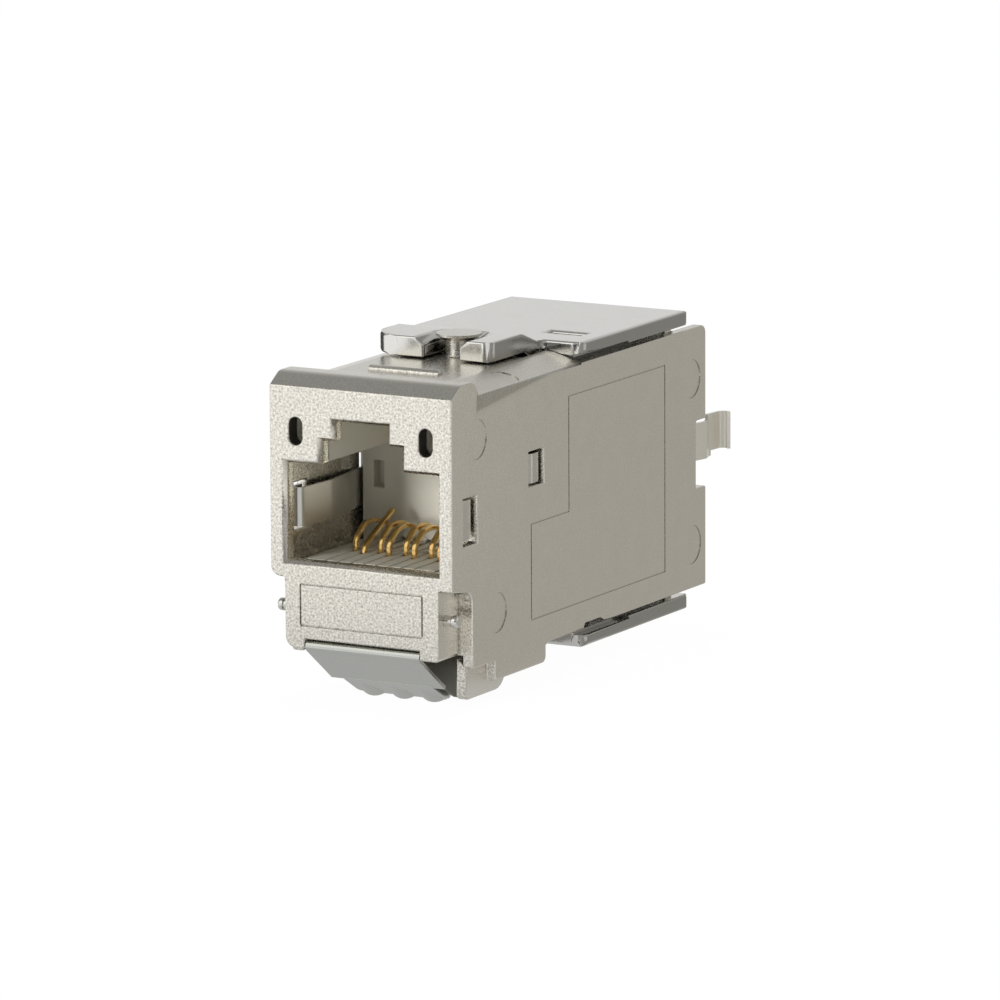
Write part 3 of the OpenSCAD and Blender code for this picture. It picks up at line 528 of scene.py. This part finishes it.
# %% [markdown]
# ## Light windows
#
# Two oval windows over the port open into the deep inside of the casting, which lies in shade. That shade is
# painted on the walls as a near-black colour: a black plug in each would show as a disc from the side, so the
# walls themselves are darkened. They belong to the housing, and get a finish of their own by place: the faces
# of the housing's copy whose middles lie inside a window's box, behind its rounded rim, point to a second
# material.

# %% Dark light windows
WINDOW_MIDDLE = (5.18, 5.73)
WINDOW_HALF = (0.60, 1.05)
WINDOW_DEPTH = (0.125, 1.24)


def window_walls(mesh):
    """For each face, whether its middle lies in the box of the left or the right window, in millimetres."""
    middles = np.empty(3 * len(mesh.polygons), dtype=np.float32)
    mesh.polygons.foreach_get("center", middles)
    x, y, z = middles.reshape(-1, 3).T / MM
    across = np.abs(np.abs(x) - WINDOW_MIDDLE[0]) < WINDOW_HALF[0]
    along = np.abs(z - WINDOW_MIDDLE[1]) < WINDOW_HALF[1]
    return across & along & (y > WINDOW_DEPTH[0]) & (y < WINDOW_DEPTH[1])


casting = bpy.data.objects["housing_soft"].data
casting.materials.append(window_painted_shade)
# The window faces get the near-black finish of painted shade.
window_shade_faces = window_walls(casting)
casting.polygons.foreach_set("material_index", window_shade_faces.astype(np.int32))
casting.update()
print("faces in the light windows:", int(window_shade_faces.sum()))

# %% [markdown]
# ## Cheeks of the latch
#
# The latch is a pressing with a cheek bent back from each end of its ramp. Seen from the side, the cheeks close
# the wedge behind the ramp, and their near-black colour is painted shade, for the shadowed bay behind the latch.
# One flat face with a Solidify modifier would do, but a closed plate is as short to write: its outline is a ring
# of points, laid at two depths, and a strip of faces closes the rim.

# %% Latch cheeks
CHEEK = [
    (0.95, -9.95), (3.86, -12.08), (5.90, -13.26), (6.15, -13.36), (6.50, -13.34), (6.68, -13.20),
    (7.62, -11.10), (7.62, -10.15), (7.42, -9.95),
]
CHEEK_SHEET = 0.25
CHEEK_OUTSIDE = 4.15


def plate(name, outline, x0, x1, finish, node):
    """A flat plate between two depths in X, with an outline of Y and Z, that moves with a node's body."""
    ring = np.array(outline) * MM
    count = len(ring)
    points = np.concatenate([np.insert(ring, 0, x * MM, axis=1) for x in (x0, x1)])
    here = np.arange(count)
    ahead = np.roll(here, -1)
    rim = np.stack([here, ahead, ahead + count, here + count], -1)
    mesh = bpy.data.meshes.new(name)
    mesh.from_pydata(points.tolist(), [], [here[::-1].tolist(), (here + count).tolist(), *rim.tolist()])
    mesh.materials.append(finish)
    piece = placed(name, mesh)
    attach(piece, frame["nodes"][node]["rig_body"])


# The cheeks' dark finish is painted shade for the shadowed bay behind the latch.
for side, x0 in (("left", -CHEEK_OUTSIDE), ("right", CHEEK_OUTSIDE - CHEEK_SHEET)):
    plate("latch_cheek_" + side, CHEEK, x0, x0 + CHEEK_SHEET, painted_shade_steel, "latch")
print("cheeks with", len(CHEEK), "corners each")

# %% [markdown]
# ## White table
#
# The ground of the photograph is pure white. Paper that is lit until it burns out would burn out the jack too,
# so the table glows white by itself, for the camera and for reflections, and a small share of plain paint keeps
# a trace of the jack's shadow. What metal sees of the table is shaded near the jack. From below the table is
# clear, so that the latch can be looked at. Its sheet is worked out as all sheets of the stage are: a function
# of two parameters on a grid, as whole arrays.

# %% Stage helpers
ANY_HEIGHT = 1  # in metres, so that heights never count as beside the jack


def grid_sheet(name, u, v, surface):
    """A sheet of the stage whose points are surface(u, v) on a grid of the two parameters."""
    uu, vv = np.meshgrid(u, v, indexing="ij")
    points = np.stack(surface(uu, vv), -1).reshape(-1, 3)
    rows, columns = len(u), len(v)
    first = (np.arange(rows - 1)[:, None] * columns + np.arange(columns - 1)).ravel()
    faces = np.stack([first, first + columns, first + columns + 1, first + 1], -1)
    mesh = bpy.data.meshes.new(name)
    mesh.from_pydata(points.tolist(), [], faces.tolist())
    sheet = placed(name, mesh)
    return sheet


def shows_white(tree):
    """One where the camera, a reflection or a transmission looks, and zero for other light."""
    ray = add(tree, "ShaderNodeLightPath").outputs
    seen = calc(tree, "MAXIMUM", ray["Is Camera Ray"], ray["Is Glossy Ray"])
    return calc(tree, "MAXIMUM", seen, ray["Is Transmission Ray"])


def beside_jack(tree):
    """How far a place on the table lies outside the footprint of the jack's box, in metres."""
    place = add(tree, "ShaderNodeTexCoord").outputs["Object"]
    middle = [(low + high) / 2 for low, high in zip(*cad_box)]
    half = [(high - low) / 2 for low, high in zip(*cad_box)]
    moved = vector_calc(tree, "SUBTRACT", place, (*middle[:2], 0))
    past = vector_calc(tree, "SUBTRACT", vector_calc(tree, "ABSOLUTE", moved), (*half[:2], ANY_HEIGHT))
    outside = vector_calc(tree, "MAXIMUM", past, (0, 0, 0))
    return add(tree, "ShaderNodeVectorMath", {0: outside}, operation="LENGTH").outputs["Value"]


print("the jack's footprint in mm:", [round((high - low) / MM, 1) for low, high in zip(*cad_box)][:2])

# %% Table
FLOOR_GAP = 0.02 * MM
FLOOR_Z = cad_box[0][2] - FLOOR_GAP
WHITE = (1, 1, 1, 1)
TABLE_ENDS = np.array((-1.5, 1.5))
TABLE_LEVEL = 1.03
SHADED_LEVEL = 0.55
SHADE_REACH = (0, 0.05)
GLOW_SHARE = 0.94
TABLE_PAINT = (0.9, 0.9, 0.9, 1)


def table_white():
    """White to the camera, shaded near the jack to reflections, painted for the shadow, and clear from below."""
    material = bpy.data.materials.new("table_white")
    tree = empty_graph(material)
    shade = ramp(tree, beside_jack(tree), SHADE_REACH, (SHADED_LEVEL, TABLE_LEVEL))
    camera_ray = add(tree, "ShaderNodeLightPath").outputs["Is Camera Ray"]
    level = either(tree, camera_ray, shade, TABLE_LEVEL)
    glow = add(tree, "ShaderNodeEmission", {"Color": WHITE, "Strength": level}).outputs["Emission"]
    paint = add(tree, "ShaderNodeBsdfDiffuse", {"Color": TABLE_PAINT}).outputs["BSDF"]
    share = calc(tree, "MULTIPLY", shows_white(tree), GLOW_SHARE)
    above = add(tree, "ShaderNodeMixShader", {0: share, 1: paint, 2: glow}).outputs["Shader"]
    below = add(tree, "ShaderNodeNewGeometry").outputs["Backfacing"]
    clear = add(tree, "ShaderNodeBsdfTransparent").outputs["BSDF"]
    sided = add(tree, "ShaderNodeMixShader", {0: below, 1: above, 2: clear}).outputs["Shader"]
    add(tree, "ShaderNodeOutputMaterial", {"Surface": sided})
    return material


table = grid_sheet("table", TABLE_ENDS, TABLE_ENDS, lambda x, y: (x, y, np.full_like(x, FLOOR_Z)))
table.data.materials.append(table_white())
print("table at a height of", round(FLOOR_Z / MM, 2), "mm")

# %% [markdown]
# ## Cards
#
# Metal shows what stands around it, so a photographer shapes it with cards. A grey cove on the right makes the
# right wall darker than the front, and a black one behind on the left darkens what looks up. A black flag stands
# in front on the right. A bright card in front on the left lights the front and its rims, and a low one close on
# the right lights what leans down there. Lamps could make the same tones, but their edges are harder to place.
# The cards are bowed round the jack's middle, so each has a profile and a range of degrees, counted from behind
# the jack over its right side. Only reflections see them: for the camera and the lamps they aren't there.

# %% Shapes of the cards
COVE_LIFT = 0.2 * MM


def around_jack(distance, degrees):
    """X and Y at a distance from the jack's middle, turned by degrees from behind it to its right."""
    turn = np.radians(degrees)
    return AIM.x + distance * np.sin(turn), AIM.y + distance * np.cos(turn)


def cove(near, far, height):
    """Round the jack's middle: level from near to far just over the table, then a quarter round to a height."""
    flat = far - near
    length = flat + height * math.pi / 2

    def surface(s, degrees):
        turn = np.clip((s * length - flat) / height, 0, math.pi / 2)
        distance = near + np.minimum(s * length, flat) + height * np.sin(turn)
        return *around_jack(distance, degrees), FLOOR_Z + COVE_LIFT + height * (1 - np.cos(turn))

    return surface


def bowed_wall(distance, low, high):
    """Round the jack's middle: an upright wall at a distance, between two heights."""
    def surface(s, degrees):
        return *around_jack(distance, degrees), low + (high - low) * s

    return surface


print("coves start", round((FLOOR_Z + COVE_LIFT) / MM, 2), "mm high")

# %% Cards
PROFILE = np.linspace(0, 1, 24)


def card(name, colour, degrees, columns, surface):
    """A card of one colour, over a range of degrees, that only reflections see."""
    sheet = grid_sheet(name, PROFILE, np.linspace(*degrees, columns), surface)
    material = bpy.data.materials.new(name)
    tree = empty_graph(material)
    glow = add(tree, "ShaderNodeEmission", {"Color": (*colour, 1)}).outputs["Emission"]
    add(tree, "ShaderNodeOutputMaterial", {"Surface": glow})
    sheet.data.materials.append(material)
    sheet.visible_camera = False
    sheet.visible_diffuse = False
    sheet.visible_shadow = False
    sheet.visible_transmission = False
    print("card:", name)


card("right_cove", (0.42, 0.412, 0.385), (2, 118), 30, cove(near=0.0105, far=0.12, height=0.16))
card("left_cove", (0.08, 0.08, 0.075), (-84, -44), 12, cove(near=0.050, far=0.14, height=0.12))
card("front_flag", (0.07, 0.07, 0.07), (122, 184), 16, bowed_wall(0.35, low=FLOOR_Z, high=0.12))
card("right_light", (0.95, 0.95, 0.93), (62, 88), 10, bowed_wall(0.060, low=FLOOR_Z, high=0.012))
card("front_light", (1.20, 1.20, 1.17), (192, 235), 12, bowed_wall(0.35, low=0.06, high=0.42))

# %% [markdown]
# ## Studio
#
# The world is white to the camera. Metal sees a room that is pale at table height and dark overhead, as a studio
# is, and everything else gets an even low light from all sides. The Light Path node tells the three apart.

# %% World
STUDIO_HEIGHTS = (0, 0.85)  # the upward part of a look, which is one straight up
STUDIO_LEVELS = (0.87, 0.27)
EVEN_LEVEL = 0.22

scene.world = bpy.data.worlds.new("studio")
sky = empty_graph(scene.world)
look = add(sky, "ShaderNodeTexCoord").outputs["Generated"]
studio = ramp(sky, part(sky, look, "Z"), STUDIO_HEIGHTS, STUDIO_LEVELS)
rays = add(sky, "ShaderNodeLightPath").outputs
seen = calc(sky, "MAXIMUM", rays["Is Camera Ray"], rays["Is Transmission Ray"])
unseen = either(sky, rays["Is Glossy Ray"], EVEN_LEVEL, studio)
strength = either(sky, seen, unseen, 1.0)
backdrop = add(sky, "ShaderNodeBackground", {"Color": WHITE, "Strength": strength})
add(sky, "ShaderNodeOutputWorld", {"Surface": backdrop.outputs["Background"]})
print("studio walls from", STUDIO_LEVELS[0], "at table height to", STUDIO_LEVELS[1], "overhead")

# %% [markdown]
# ## Lamps
#
# Three soft lamps light the plastics and throw the faint shadow on the table. Metal would show them as hard
# squares, so reflections don't see them.

# %% Lamps
LAMPS = {
    "key": ((-0.30, -0.55, 0.08), 0.22, 5.2),
    "top": ((0.0, 0.05, 0.60), 0.40, 1.0),
    "rear": ((0.15, 0.55, 0.20), 0.35, 1.2),
}


def soft_lamp(name, place, size, watts):
    """A square lamp that looks at the middle of the jack."""
    lamp = placed(name, bpy.data.lights.new(name, "AREA"))
    lamp.data.size = size
    lamp.data.energy = watts
    lamp.location = place
    lamp.rotation_mode = "QUATERNION"
    lamp.rotation_quaternion = (Vector(place) - AIM).to_track_quat("Z", "Y")
    lamp.visible_glossy = False
    print("lamp:", name, watts, "W")


for name, (place, size, watts) in LAMPS.items():
    soft_lamp(name, place, size, watts)
